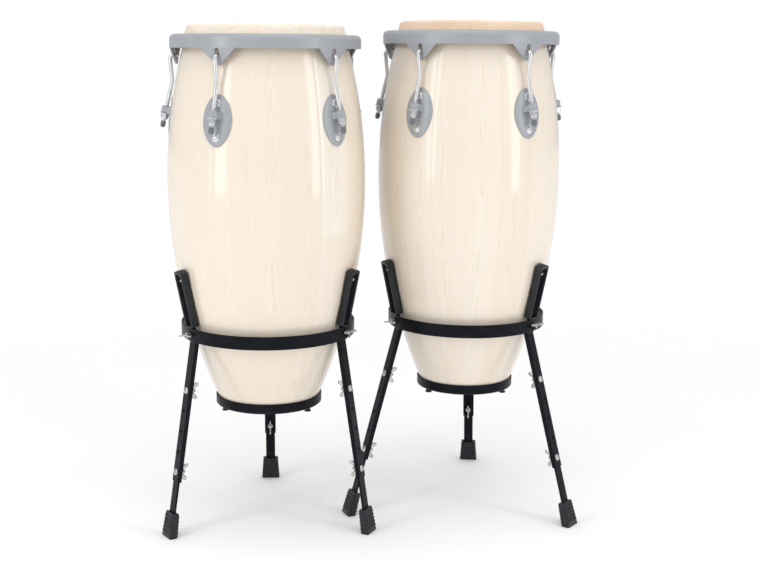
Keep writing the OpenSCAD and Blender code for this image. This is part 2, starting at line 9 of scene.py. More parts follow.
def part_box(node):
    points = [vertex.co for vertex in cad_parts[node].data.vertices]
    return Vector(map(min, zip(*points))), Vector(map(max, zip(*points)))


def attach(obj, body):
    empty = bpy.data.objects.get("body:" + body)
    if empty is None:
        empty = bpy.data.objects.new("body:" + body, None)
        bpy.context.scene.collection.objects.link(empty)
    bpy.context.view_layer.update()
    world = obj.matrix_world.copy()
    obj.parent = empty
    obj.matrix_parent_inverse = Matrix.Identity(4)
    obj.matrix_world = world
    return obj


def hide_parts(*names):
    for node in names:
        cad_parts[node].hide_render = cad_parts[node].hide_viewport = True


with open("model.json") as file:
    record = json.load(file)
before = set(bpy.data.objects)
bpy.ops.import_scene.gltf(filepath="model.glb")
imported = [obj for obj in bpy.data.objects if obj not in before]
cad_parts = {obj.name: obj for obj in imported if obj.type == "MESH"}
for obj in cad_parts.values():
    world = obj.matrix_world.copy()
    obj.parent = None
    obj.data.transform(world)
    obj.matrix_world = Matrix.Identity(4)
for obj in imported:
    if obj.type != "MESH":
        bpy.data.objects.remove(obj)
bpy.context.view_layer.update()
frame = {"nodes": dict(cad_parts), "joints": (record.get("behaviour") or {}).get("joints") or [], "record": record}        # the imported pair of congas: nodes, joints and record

MM = 0.001
TURN = 2 * math.pi
JOINTS = {joint["name"]: joint for joint in frame["joints"]}
MOUNTS = {mount["name"]: mount for mount in frame["record"]["mounts"]}

# Sizes that both drums share with the CAD part, in metres
SKIN = 1.8 * MM              # thickness of the rawhide
WALL = 11 * MM               # thickness of the staves
EDGE_ROUND = 5 * MM          # bearing edge
COLLAR_GAP = 0.4 * MM        # between the shell and the rawhide
STAVES = 17
LUGS = range(1, 6)           # hooks on a drum
LEGS = range(1, 4)           # legs of a stand
STAVE_ARC = {"conga": 965.6 * MM, "quinto": 990.8 * MM}   # radius that the staves are bent to
FIRST_BUMPER = {"conga": -61, "quinto": -60}              # azimuth in degrees
BELLY_H = 414 * MM           # widest point above the band's underside
HOOK_R = 3.5 * MM
HOOK_LOW = 26 * MM           # the hook's bottom end, below its block
HOOK_KNEE = 54 * MM          # the knee, above its block
HOOK_BENDS = (22 * MM, 7 * MM)                            # bend radii at the knee and at the rim
HOOK_TOP_OUT = 2 * MM        # from the rim's face to the hook
HOOK_END_IN = 12 * MM        # how far the hook's end reaches inside the rim
THREAD_ABOVE = 15 * MM       # the thread's end, above the block's middle
CAP_FLOOR = 3 * MM           # cap under the end of the hook
THREAD_PITCH = 1.25 * MM
BLOCK_H = 12 * MM            # height of the block that a hook passes through
PLATE_H, PLATE_W = 92 * MM, 56 * MM
PLATE_MID = 535 * MM         # plate centre above the band's underside
STRAP_T = 3 * MM             # ring and arm strap
LEG_DROP = 2 * MM            # from the ring down to a leg's top
BEND_UP = 2 * MM             # from the ring up to an arm's bend
PAD_UP = 4 * MM              # from the ring up to a pad
ARM_GAP = 0.5 * MM           # between the ring and an arm
PAD_LEN = 106 * MM
PAD_RUBBER = 5.5 * MM        # behind the strap
PAD_LIP = 6 * MM             # how far the pad's sides stand past the strap
BAR_OFF, BAR_T = 1.7 * MM, 4 * MM                         # the lower leg inside the upper leg
HOLES_FROM_TOP = (90 * MM, 242 * MM)                      # clamp bolts, down the leg from its top
CLAMP_R = 3 * MM
CLAMP_HEAD_R = 6.5 * MM
CLAMP_LEN = 18 * MM
CLAMP_PITCH = 1 * MM
GAP = 0.15 * MM              # between pieces that touch
FOOT_LEN = 46 * MM


# ---------------------------------------------------------------- places

def about(origin, azimuth):
    """Matrix whose +X points outward at an azimuth (from -Y towards +X) and whose +Z is up."""
    return Matrix.Translation(origin) @ Matrix.Rotation(azimuth - math.pi / 2, 4, "Z")


def azimuth_of(vector):
    return math.atan2(vector[0], -vector[1])


class Drum:
    """One drum and its stand, with the places that its pieces are built round."""

    def __init__(self, name):
        self.name = name
        low, high = self.box("bottom_band")
        self.axis = Vector(((low.x + high.x) / 2, (low.y + high.y) / 2, 0))
        self.seat = low.z
        shell_low, shell_high = self.box("shell")
        self.belly_r = (shell_high.y - shell_low.y) / 2
        self.shell_low = shell_low.z - self.seat
        self.shell_top = shell_high.z - self.seat
        self.arc = STAVE_ARC[name]
        self.head_top = self.box("head")[1].z - self.seat
        rim_low, rim_high = self.box("rim")
        self.rim_r = (rim_high.x - rim_low.x) / 2
        ring_low, ring_high = self.box("stand_ring")
        self.ring_z = (ring_low.z, ring_high.z)
        self.ring_r = (ring_high.y - ring_low.y) / 2
        self.base = self.axis + Vector((0, 0, self.seat))

    def box(self, part):
        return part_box(f"{self.name}_{part}")

    def radius(self, h):
        """The shell's outside radius at height h above the band's underside."""
        return self.belly_r - self.arc + math.sqrt(self.arc ** 2 - (h - BELLY_H) ** 2)

    def tilt(self, h):
        """How steeply the shell's skin faces up at height h."""
        return math.asin((h - BELLY_H) / self.arc)

    def hook(self, i):
        """(matrix at the drum's seat turned to hook i, block radius, block height, lean outward)."""
        joint = JOINTS[f"{self.name}_nut_turn_{i}"]
        spot = Vector(joint["pos_m"]) - self.base
        lean = math.acos(-joint["axis"][2])
        return about(self.base, azimuth_of(spot)), spot.xy.length, spot.z, lean

    def block(self, i):
        """Matrix in the middle of hook i's block, with +Z up along the hook's thread."""
        place, block_r, block_h, lean = self.hook(i)
        return place @ Matrix.Translation((block_r, 0, block_h)) @ Matrix.Rotation(-lean, 4, "Y")

    def leg(self, i):
        """(matrix with +Z down leg i from its top and its outer face at x = 0, length to the floor)."""
        axis = Vector(JOINTS[f"{self.name}_leg_slide_{i}"]["axis"])
        lean = math.acos(-axis.z)
        middle = -BAR_OFF - BAR_T / 2
        top = self.ring_z[0] - LEG_DROP
        to_floor = (top + middle * math.sin(lean)) / math.cos(lean)
        sole = Vector(MOUNTS[f"{self.name}_foot_{i}_sole"]["pos_m"])
        matrix = about(sole, azimuth_of(axis)) @ Matrix.Rotation(-lean, 4, "Y")
        matrix = matrix @ Matrix.Scale(-1, 4, (0, 0, 1)) @ Matrix.Translation((-middle, 0, -to_floor))
        return matrix, to_floor

    def arm(self, i):
        """Matrix at the bend of arm i, with +Z up the arm and +X outward."""
        bend = self.ring_z[1] + BEND_UP
        pad_middle = self.ring_z[1] + PAD_UP + PAD_LEN / 2 - self.seat
        turn = azimuth_of(JOINTS[f"{self.name}_leg_slide_{i}"]["axis"])
        spot = Matrix.Translation((self.ring_r - STRAP_T * 1.5 - ARM_GAP, 0, bend))
        return about(self.axis, turn) @ spot @ Matrix.Rotation(-self.tilt(pad_middle), 4, "Y")

    def ring_bolt(self, i):
        """Matrix on the ring's outside at leg i, with +Z outward."""
        turn = azimuth_of(JOINTS[f"{self.name}_leg_slide_{i}"]["axis"])
        spot = Matrix.Translation((self.ring_r, 0, sum(self.ring_z) / 2))
        return about(self.axis, turn) @ spot @ Matrix.Rotation(math.pi / 2, 4, "Y")


# ---------------------------------------------------------------- meshes

def put(name, data, location=(0, 0, 0)):
    """A new object in the scene."""
    item = bpy.data.objects.new(name, data)
    item.location = location
    bpy.context.scene.collection.objects.link(item)
    return item


def circle_arc(x, z, r, start, end, steps):
    """Points on an arc in the XZ plane, with angles in degrees."""
    angles = [math.radians(start + (end - start) * k / steps) for k in range(steps + 1)]
    return [(x + r * math.cos(a), z + r * math.sin(a)) for a in angles]


def skin(rings, closed=False):
    """Vertices and quads through rings of equal length. Open tubes get end caps."""
    n = len(rings[0])
    vertices = [point for ring in rings for point in ring]
    faces = []
    for r in range(len(rings) if closed else len(rings) - 1):
        a, b = r * n, (r + 1) % len(rings) * n
        faces += [(a + k, a + (k + 1) % n, b + (k + 1) % n, b + k) for k in range(n)]
    if not closed:
        faces += [tuple(range(n - 1, -1, -1)), tuple(range(len(vertices) - n, len(vertices)))]
    return vertices, faces


def spin(profile, steps=64, shape=None):
    """Rings for a profile of (r, z) points turned about Z. shape(r, z, angle) may move each point."""
    angles = [TURN * k / steps for k in range(steps)]
    rings = []
    for r, z in profile:
        spots = [shape(r, z, a) if shape else (r, z) for a in angles]
        rings.append([(q * math.cos(a), q * math.sin(a), y) for (q, y), a in zip(spots, angles)])
    return rings


def superellipse(half_x, half_y, steps, power=4.0):
    """Outline of a rounded rectangle round the origin."""
    points = []
    for k in range(steps):
        a = TURN * k / steps
        c, s = math.cos(a), math.sin(a)
        points.append((half_x * math.copysign(abs(c) ** (2 / power), c),
                       half_y * math.copysign(abs(s) ** (2 / power), s)))
    return points


def rounded_box(half_x, half_y, radius, corner_steps=4):
    """Outline of a rectangle with circular corners, anticlockwise."""
    points = []
    for cx, cy, start in ((1, 1, 0), (-1, 1, 90), (-1, -1, 180), (1, -1, 270)):
        points += circle_arc(cx * (half_x - radius), cy * (half_y - radius), radius,
                             start, start + 90, corner_steps)
    return points


class Mesh:
    """Collects parts of one piece, each placed by a matrix and given a material number."""

    def __init__(self):
        self.vertices, self.faces, self.slots = [], [], []

    def add(self, part, matrix=None, slot=0):
        vertices, faces = part
        start = len(self.vertices)
        matrix = matrix or Matrix.Identity(4)
        flip = matrix.determinant() < 0
        self.vertices += [matrix @ Vector(v) for v in vertices]
        for face in faces:
            indices = [start + k for k in face]
            self.faces.append(indices[::-1] if flip else indices)
            self.slots.append(slot)
        return self

    def piece(self, drum, name, body, materials, replaces, slot, sharp, origin=None):
        """Makes the Blender object, rides it on its body and hides the CAD node that it stands for."""
        origin = origin or Vector((0, 0, 0))
        name = f"{drum.name}_{name}"
        data = bpy.data.meshes.new(name)
        data.from_pydata([v - origin for v in self.vertices], [], self.faces)
        data.polygons.foreach_set("material_index", self.slots)
        data.update()
        work = bmesh.new()
        work.from_mesh(data)
        bmesh.ops.recalc_face_normals(work, faces=work.faces)
        work.to_mesh(data)
        work.free()
        for material in materials:
            data.materials.append(material)
        data.shade_smooth()
        data.set_sharp_from_angle(angle=math.radians(sharp))
        piece = put(name, data, origin)
        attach(piece, f"{drum.name}_{body}")
        if replaces:
            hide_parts(f"{drum.name}_{replaces}")


# ---------------------------------------------------------------- materials

class Paint:
    """A procedural material, built up from short calls that each add one shader node."""

    def __init__(self, name, **inputs):
        self.material = bpy.data.materials.new(name)
        self.material.use_nodes = True
        self.tree = self.material.node_tree
        self.tree.nodes.clear()
        self.shader = self.add("BsdfPrincipled", **inputs)
        self.output = self.add("OutputMaterial", Surface=self.shader.outputs[0])
        self.place = self.add("TexCoord").outputs["Object"]

    def feed(self, node, key, value):
        socket = node.inputs[key]
        if isinstance(value, bpy.types.NodeSocket):
            self.tree.links.new(value, socket)
        else:
            socket.default_value = value

    def feed_all(self, node, values):
        for key, value in enumerate(values):
            self.feed(node, key, value)
        return node.outputs

    def add(self, kind, settings=None, **inputs):
        node = self.tree.nodes.new("ShaderNode" + kind)
        for key, value in (settings or {}).items():
            setattr(node, key, value)
        for key, value in inputs.items():
            self.feed(node, key.replace("_", " "), value)
        return node

    def set(self, **inputs):
        for key, value in inputs.items():
            self.feed(self.shader, key.replace("_", " "), value)

    def calc(self, operation, a, b=0.0, c=0.0):
        return self.feed_all(self.add("Math", {"operation": operation}), (a, b, c))[0]

    def plus(self, a, b):
        return self.calc("ADD", a, b)

    def minus(self, a, b):
        return self.calc("SUBTRACT", a, b)

    def times(self, a, b):
        return self.calc("MULTIPLY", a, b)

    def vector(self, operation, *values):
        return self.feed_all(self.add("VectorMath", {"operation": operation}), values)

    def split(self, vector):
        return self.add("SeparateXYZ", Vector=vector).outputs

    def join(self, x, y, z):
        return self.add("CombineXYZ", X=x, Y=y, Z=z).outputs[0]

    def stretch(self, vector, scale):
        return self.vector("MULTIPLY", vector, scale)[0]

    def noise(self, vector, scale, detail=3.0, roughness=0.55, distortion=0.0):
        return self.add("TexNoise", Vector=vector, Scale=scale, Detail=detail, Roughness=roughness,
                        Distortion=distortion).outputs[0]

    def spread(self, value, low, high, to_low=0.0, to_high=1.0):
        return self.add("MapRange", {"interpolation_type": "SMOOTHSTEP"}, Value=value, From_Min=low,
                        From_Max=high, To_Min=to_low, To_Max=to_high).outputs[0]

    def mix(self, share, a, b):
        node = self.add("Mix", {"data_type": "RGBA"})
        for key, value in ((0, share), (6, a), (7, b)):
            self.feed(node, key, value)
        return node.outputs[2]

    def layer(self, under, mask, low, high, share, over):
        """Lays a colour over another where a mask rises from low to high, up to a share."""
        return self.mix(self.spread(mask, low, high, 0.0, share), under, over)

    def bump(self, height, distance, strength=1.0, soft_edge=0.0):
        """Bump on top of edges softened by a radius."""
        node = self.add("Bump", Height=height, Distance=distance, Strength=strength)
        if soft_edge:
            self.feed(node, "Normal", self.add("Bevel", {"samples": 4}, Radius=soft_edge).outputs[0])
        self.set(Normal=node.outputs[0])

    def edges(self, radius):
        """1 on edges sharper than a radius, 0 on open faces."""
        soft = self.add("Bevel", {"samples": 4}, Radius=radius).outputs[0]
        true = self.add("NewGeometry").outputs["Normal"]
        return self.spread(self.minus(1.0, self.vector("DOT_PRODUCT", soft, true)["Value"]), 0.004, 0.12)

    def random(self, value, seed):
        """A random share that is constant wherever value is constant."""
        return self.add("TexWhiteNoise", {"noise_dimensions": "2D"},
                        Vector=self.join(value, float(seed), 0.0)).outputs["Value"]


def rgb(red, green, blue):
    return (red, green, blue, 1.0)


WHITE = rgb(1.0, 1.0, 1.0)


def darker(colour, share):
    return [value * share for value in colour[:3]] + [1.0]


def lacquered_wood(seed):
    """Pale maple staves with figured grain, board joints and a clear gloss coat."""
    paint = Paint(f"lacquered_wood_{seed}", IOR=1.5)
    x, y, z = paint.split(paint.place)
    angle = paint.calc("ARCTAN2", y, x)
    turns = paint.plus(paint.times(angle, STAVES / TURN), STAVES + 0.5 + 0.001)
    stave = paint.calc("FLOOR", turns)
    across = paint.minus(paint.minus(turns, stave), 0.5)
    tone = paint.random(stave, seed)
    shift = paint.random(stave, seed + 31)
    # Boards are glued end to end within a stave
    board = paint.calc("FLOOR", paint.plus(paint.times(z, 3.1), paint.times(shift, 7.0)))
    board_key = paint.plus(paint.times(stave, 17.0), board)
    board_tone = paint.random(board_key, seed + 57)
    flip = paint.random(board_key, seed + 83)
    # Flat-sawn figure: contours of a parabola along each board, warped
    centre = paint.minus(across, paint.calc("MULTIPLY_ADD", shift, 0.5, -0.25))
    spot = paint.join(paint.times(across, 0.5), paint.times(z, 1.6), paint.times(board_key, 3.7))
    warp = paint.noise(spot, 3.0, 2.0)
    slope = paint.calc("MULTIPLY_ADD", flip, 5.0, 1.5)
    figure = paint.plus(paint.times(paint.calc("POWER", centre, 2.0), 26.0),
                        paint.plus(paint.times(z, slope), paint.times(warp, 5.0)))
    ring = paint.calc("POWER", paint.calc("FRACT", paint.times(figure, 1.3)), 2.5)
    fibre = paint.noise(paint.join(paint.times(across, 60.0), paint.times(z, 9.0), stave), 2.2, 4.0, 0.65)
    pores = paint.noise(paint.join(paint.times(across, 220.0), paint.times(z, 40.0), stave), 2.0, 2.0, 0.5)
    pores = paint.spread(pores, 0.62, 0.75)
    cloud = paint.noise(paint.stretch(paint.place, (6.0, 6.0, 2.2)), 1.6, 3.0)
    pale, warm = rgb(0.85, 0.80, 0.725), rgb(0.80, 0.71, 0.60)
    colour = paint.layer(pale, tone, 0.0, 1.0, 0.85, warm)
    colour = paint.layer(colour, board_tone, 0.2, 1.0, 0.55, warm)
    colour = paint.layer(colour, cloud, 0.35, 0.75, 0.30, rgb(0.85, 0.75, 0.625))
    colour = paint.mix(paint.times(ring, 0.42), colour, rgb(0.73, 0.59, 0.43))
    colour = paint.layer(colour, fibre, 0.40, 0.75, 0.22, rgb(0.75, 0.62, 0.475))
    colour = paint.mix(paint.times(pores, 0.12), colour, rgb(0.52, 0.37, 0.23))
    seam = paint.spread(paint.calc("ABSOLUTE", across), 0.4935, 0.499)
    colour = paint.mix(paint.times(seam, 0.16), colour, rgb(0.45, 0.31, 0.19))
    peel = paint.noise(paint.place, 55.0, 2.0, 0.4)
    height = paint.plus(peel, paint.times(fibre, 0.15))
    paint.set(Base_Color=colour, Roughness=paint.spread(fibre, 0.3, 0.8, 0.32, 0.42), Coat_Weight=0.8,
              Coat_Roughness=0.10, Coat_IOR=1.5)
    paint.bump(height, 0.00018, 0.35)
    coat_bump = paint.add("Bump", Height=peel, Distance=0.00012, Strength=0.5)
    paint.set(Coat_Normal=coat_bump.outputs[0])
    return paint.material


def bare_wood():
    """The staves' unfinished inside: sawn, dusty and matte."""
    paint = Paint("bare_wood")
    x, y, z = paint.split(paint.place)
    around = paint.times(paint.calc("ARCTAN2", y, x), 9.0)
    saw = paint.noise(paint.join(around, paint.times(z, 60.0), 0.0), 2.0, 3.0)
    fibre = paint.noise(paint.join(paint.times(around, 20.0), paint.times(z, 6.0), 0.0), 2.5, 4.0)
    colour = paint.mix(paint.spread(fibre, 0.35, 0.7), rgb(0.66, 0.50, 0.33), rgb(0.50, 0.35, 0.21))
    paint.set(Base_Color=colour, Roughness=0.85)
    paint.bump(paint.plus(saw, fibre), 0.0006, 0.6)
    return paint.material


def rawhide(seed, tint):
    """Dry translucent skin: mottled, with pores and faint veins."""
    paint = Paint(f"rawhide_{seed}", IOR=1.45)
    cloud = paint.noise(paint.place, 9.0, 5.0, 0.6, 0.6)
    streak = paint.noise(paint.stretch(paint.place, (14.0, 5.0, 14.0)), 3.0, 4.0, 0.6, 0.4)
    fine = paint.noise(paint.place, 240.0, 3.0, 0.6)
    pores = paint.add("TexVoronoi", Vector=paint.place, Scale=620.0).outputs["Distance"]
    pores = paint.spread(pores, 0.06, 0.22)
    warp = paint.add("TexNoise", Vector=paint.place, Scale=11.0, Detail=3.0).outputs["Color"]
    bent = paint.vector("MULTIPLY_ADD", warp, (0.16, 0.16, 0.16), paint.place)[0]
    veins = paint.add("TexVoronoi", {"feature": "DISTANCE_TO_EDGE"}, Scale=9.0, Vector=bent)
    vein = paint.spread(veins.outputs["Distance"], 0.0, 0.05, 1.0, 0.0)
    light, dark = tint
    colour = paint.mix(paint.spread(cloud, 0.32, 0.72), light, dark)
    colour = paint.layer(colour, streak, 0.45, 0.8, 0.35, rgb(0.86, 0.78, 0.66))
    colour = paint.mix(paint.times(vein, 0.14), colour, rgb(0.55, 0.36, 0.22))
    colour = paint.layer(colour, fine, 0.55, 0.8, 0.22, rgb(0.60, 0.42, 0.27))
    colour = paint.mix(paint.spread(pores, 0.0, 1.0, 0.20, 0.0), colour, rgb(0.42, 0.28, 0.18))
    paint.set(Base_Color=colour, Roughness=paint.spread(cloud, 0.3, 0.8, 0.42, 0.60),
              Subsurface_Weight=0.25, Subsurface_Scale=0.004, Coat_Weight=0.1, Coat_Roughness=0.4)
    pits = paint.plus(paint.times(pores, 0.25), paint.times(cloud, 1.6))
    height = paint.plus(paint.times(fine, 0.5), pits)
    paint.bump(height, 0.0004, 0.5)
    return paint.material


def powder_coat(name, colour, worn, roughness, soft_edge, wear, shine):
    """Sprayed powder on steel: fine orange peel, a little dust, and edges rubbed lighter."""
    paint = Paint(name)
    grain = paint.noise(paint.place, 900.0, 2.0, 0.6)
    peel = paint.noise(paint.place, 190.0, 2.0, 0.5)
    dust = paint.noise(paint.place, 26.0, 5.0, 0.65)
    scuff = paint.noise(paint.stretch(paint.place, (40.0, 40.0, 220.0)), 1.3, 4.0, 0.7)
    rubbed = paint.times(paint.edges(soft_edge * 1.6), paint.spread(dust, 0.42, 0.66))
    shade = paint.layer(colour, grain, 0.25, 0.75, 0.5, darker(colour, 0.80))
    shade = paint.layer(shade, dust, 0.45, 0.85, 0.20, worn)
    shade = paint.mix(paint.times(rubbed, wear), shade, worn)
    rough = paint.plus(paint.spread(dust, 0.3, 0.8, roughness, roughness + 0.14),
                       paint.spread(scuff, 0.62, 0.75, 0.0, 0.10))
    paint.set(Base_Color=shade, Roughness=rough, Specular_IOR_Level=shine)
    paint.bump(paint.plus(peel, paint.times(grain, 0.35)), 0.00012, 0.5, soft_edge)
    return paint.material


def plated(name, colour, roughness, soft_edge, tarnish):
    """Plated steel: soft cloudy reflection, hairline scratches and tarnish in the low spots."""
    paint = Paint(name, Metallic=1.0)
    cloud = paint.noise(paint.place, 60.0, 4.0, 0.6)
    hair = paint.noise(paint.stretch(paint.place, (500.0, 500.0, 60.0)), 2.0, 3.0, 0.6)
    spots = paint.noise(paint.place, 420.0, 3.0, 0.6)
    shade = paint.layer(colour, cloud, 0.4, 0.75, 0.6, tarnish)
    shade = paint.layer(shade, spots, 0.64, 0.8, 0.35, darker(tarnish, 0.55))
    rough = paint.plus(paint.spread(cloud, 0.35, 0.75, roughness, roughness + 0.10),
                       paint.spread(hair, 0.5, 0.8, 0.0, 0.06))
    paint.set(Base_Color=shade, Roughness=rough)
    paint.bump(paint.plus(hair, paint.times(cloud, 2.0)), 0.00005, 0.3, soft_edge)
    return paint.material


def rubber(name, colour, bloom_and_edge_highlight):
    """Moulded rubber: matte, finely pitted, with a grey bloom, a highlight painted along its edges, and soft
    edges.
    """
    paint = Paint(name)
    pits = paint.noise(paint.place, 1100.0, 2.0, 0.6)
    mould = paint.noise(paint.place, 130.0, 4.0, 0.6)
    cloud = paint.noise(paint.place, 22.0, 4.0, 0.6)
    shade = paint.layer(colour, cloud, 0.4, 0.8, 0.5, bloom_and_edge_highlight)
    # Every edge is mixed a third of the way to the bloom grey. This is a painted highlight, not bloom.
    shade = paint.mix(paint.times(paint.edges(0.0012), 0.35), shade, bloom_and_edge_highlight)
    shade = paint.layer(shade, pits, 0.6, 0.8, 0.4, darker(colour, 0.5))
    paint.set(Base_Color=shade, Roughness=paint.spread(mould, 0.3, 0.8, 0.36, 0.56), Specular_IOR_Level=0.42)
    paint.bump(paint.plus(paint.times(pits, 0.5), mould), 0.00025, 0.5, 0.0005)
    return paint.material


def cap_plastic():
    """Dark grey moulded caps on the hooks' lower ends."""
    paint = Paint("cap_plastic")
    mould = paint.noise(paint.place, 300.0, 3.0, 0.5)
    shade = paint.mix(paint.spread(mould, 0.4, 0.75), rgb(0.15, 0.16, 0.175), rgb(0.11, 0.118, 0.13))
    paint.set(Base_Color=shade, Roughness=paint.spread(mould, 0.3, 0.8, 0.38, 0.5))
    paint.bump(mould, 0.0001, 0.4, 0.0003)
    return paint.material


def floor_paint():
    """Pale studio floor that fades into the white background away from the drums."""
    paint = Paint("studio_floor")
    cloud = paint.noise(paint.place, 3.0, 4.0)
    shade = paint.mix(paint.spread(cloud, 0.3, 0.8), rgb(0.97, 0.97, 0.97), rgb(0.95, 0.95, 0.955))
    paint.set(Base_Color=shade, Roughness=0.8, Specular_IOR_Level=0.1)
    away = paint.vector("LENGTH", paint.place)["Value"]
    seen = paint.add("LightPath").outputs["Is Camera Ray"]
    fade = paint.times(paint.spread(away, 0.5, 2.2), seen)
    glow = paint.add("Emission", Color=WHITE, Strength=1.0)
    blend = paint.feed_all(paint.add("MixShader"), (fade, paint.shader.outputs[0], glow.outputs[0]))
    paint.feed(paint.output, "Surface", blend[0])
    return paint.material


def studio_world():
    """White surroundings, darker towards the horizon in reflections so that metal keeps its contrast."""
    world = bpy.data.worlds.new("studio")
    world.use_nodes = True
    nodes, links = world.node_tree.nodes, world.node_tree.links
    nodes.remove(nodes["Background"])

    def background(colour, strength):
        light = nodes.new("ShaderNodeBackground")
        light.inputs["Color"].default_value = colour
        light.inputs["Strength"].default_value = strength
        return light

    split = nodes.new("ShaderNodeSeparateXYZ")
    links.new(nodes.new("ShaderNodeTexCoord").outputs["Generated"], split.inputs[0])
    height = nodes.new("ShaderNodeMapRange")
    height.interpolation_type = "SMOOTHSTEP"
    links.new(split.outputs["Z"], height.inputs["Value"])
    for key, value in (("From Min", -0.1), ("From Max", 0.9), ("To Min", 0.50), ("To Max", 0.85)):
        height.inputs[key].default_value = value
    mirrored = background((0.96, 0.98, 1.0, 1.0), 1.0)
    links.new(height.outputs[0], mirrored.inputs["Strength"])
    path = nodes.new("ShaderNodeLightPath")
    shown = background(WHITE, 0.92)
    for ray, light in (("Is Glossy Ray", mirrored), ("Is Camera Ray", background(WHITE, 1.0))):
        choice = nodes.new("ShaderNodeMixShader")
        for key, source in enumerate((path.outputs[ray], shown.outputs[0], light.outputs[0])):
            links.new(source, choice.inputs[key])
        shown = choice
    links.new(shown.outputs[0], nodes["World Output"].inputs["Surface"])
    return world


GREY = powder_coat("satin_grey_coat", rgb(0.325, 0.345, 0.375), worn=rgb(0.48, 0.50, 0.525),
                   roughness=0.30, soft_edge=0.7 * MM, wear=0.5, shine=0.9)
BLACK = powder_coat("black_coat", rgb(0.0030, 0.0042, 0.0078), worn=rgb(0.040, 0.046, 0.058),
                    roughness=0.32, soft_edge=0.5 * MM, wear=0.25, shine=0.12)
CHROME = plated("chrome", rgb(0.74, 0.745, 0.76), roughness=0.30, soft_edge=0.3 * MM,
                tarnish=rgb(0.56, 0.56, 0.565))
NICKEL = plated("nickel_plate", rgb(0.53, 0.525, 0.51), roughness=0.16, soft_edge=0.4 * MM,
                tarnish=rgb(0.38, 0.36, 0.325))
# The second colour is the bloom grey. It is also painted along every edge as a highlight.
RUBBER = rubber("black_rubber", rgb(0.006, 0.008, 0.011), rgb(0.026, 0.029, 0.034))
CAP = cap_plastic()
BARE_WOOD = bare_wood()
HIDES = {"conga": (rgb(0.90, 0.81, 0.71), rgb(0.83, 0.68, 0.55)),
         "quinto": (rgb(0.84, 0.66, 0.50), rgb(0.72, 0.50, 0.34))}


# ---------------------------------------------------------------- the drum

def build_shell(drum, seed):
    """Staves with a fine groove at each glue line, a rounded bearing edge and a bare inside."""
    groove = 0.16 * MM
    steps = 14
    shares = [0.0, 0.012] + [0.012 + 0.976 * k / (steps - 2) for k in range(1, steps - 2)] + [0.988]
    angles = [TURN * (s + share - 0.5) / STAVES for s in range(STAVES) for share in shares]
    rows = 96
    edge_h = drum.shell_top - EDGE_ROUND
    outside = [(drum.radius(h), h, 1) for h in
               [drum.shell_low + (edge_h - drum.shell_low) * k / rows for k in range(rows + 1)]]
    top_r = drum.radius(edge_h)
    edge = [(r, h, 0.5) for r, h in circle_arc(top_r - EDGE_ROUND, edge_h, EDGE_ROUND, 0, 100, 9)[1:]]
    inner_r = top_r - WALL
    edge += [(inner_r + 1.2 * MM, edge_h + 2.2 * MM, 0), (inner_r + 0.3 * MM, edge_h + 0.8 * MM, 0)]
    inside = [(r - WALL, h, -1) for r, h, _ in reversed(outside[::4])]
    rings = []
    for r, h, side in outside + edge + inside:
        ring = []
        for k, angle in enumerate(angles):
            cut = groove * side if k % len(shares) == 0 else 0
            if side < 0:
                spot = Vector((r * math.cos(angle) * 60, r * math.sin(angle) * 60, h * 9))
                cut += 0.25 * MM * noise.noise(spot)
            q = r - cut
            ring.append((q * math.cos(angle), q * math.sin(angle), h))
        rings.append(ring)
    mesh = Mesh().add(skin(rings, closed=True), Matrix.Translation(drum.base))
    first_inside = (len(outside) + len(edge) - 3) * len(angles)
    mesh.slots = [1 if k >= first_inside else 0 for k in range(len(mesh.faces))]
    mesh.piece(drum, "stave_shell", "drum", [lacquered_wood(seed), BARE_WOOD], "shell", "lacquered_wood",
               50, drum.base)


def build_head(drum, seed):
    """Rawhide pulled over the bearing edge, down the collar and round the flesh hoop."""
    corner_h = drum.shell_top - EDGE_ROUND
    centre_r = drum.radius(corner_h) - EDGE_ROUND
    hoop_low, hoop_high = drum.box("flesh_hoop")
    hoop_h = (hoop_low.z + hoop_high.z) / 2 - drum.seat
    hoop_r = (hoop_high.z - hoop_low.z) / 2
    hoop_ring = (hoop_high.y - hoop_low.y) / 2 - hoop_r
    flat = [0.12, 0.3, 0.5, 0.68, 0.82, 0.92, 0.97]

    def collar(off):
        return [(drum.radius(h) + off, h) for h in [corner_h - 1 * MM - k * 2.4 * MM for k in range(6)]
                if h > hoop_h + 2 * MM]

    over = [(centre_r * share, drum.head_top) for share in flat]
    over += circle_arc(centre_r, corner_h, EDGE_ROUND + GAP + SKIN, 90, 4, 10)
    over += collar(COLLAR_GAP + SKIN)
    lap = hoop_r + GAP + SKIN - 0.05 * MM
    over += circle_arc(hoop_ring, hoop_h, lap, 128, -168, 26)
    under = circle_arc(hoop_ring, hoop_h, lap - SKIN, -164, 128, 26)
    under += collar(COLLAR_GAP)[::-1]
    under += circle_arc(centre_r, corner_h, EDGE_ROUND + GAP, 4, 90, 10)
    under += [(centre_r * share, drum.head_top - SKIN) for share in reversed(flat)]

    def uneven(r, z, angle):
        c, s = math.cos(angle), math.sin(angle)
        lumps = noise.noise(Vector((c * r * 22, s * r * 22, seed))) * 0.25 * MM
        lift = lumps * (1 - min(1.0, r / centre_r) ** 6)
        below = max(0.0, min(1.0, (drum.head_top - 14 * MM - z) / (8 * MM)))
        tucks = noise.noise(Vector((c * 9, s * 9, z * 40 + seed)))
        tucks += 0.5 * noise.noise(Vector((c * 26, s * 26, z * 60)))
        on_collar = 1.0 if r > centre_r and z < corner_h + 2 * MM else 0.0
        return r + tucks * 0.12 * MM * below + lumps * 0.3 * on_collar, z - 0.15 * MM + lift * 0.4

    mesh = Mesh().add(skin(spin(over + under, 192, uneven)), Matrix.Translation(drum.base))
    mesh.piece(drum, "rawhide", "head_and_rim", [rawhide(seed, HIDES[drum.name])], "head", "rawhide",
               60, drum.base)


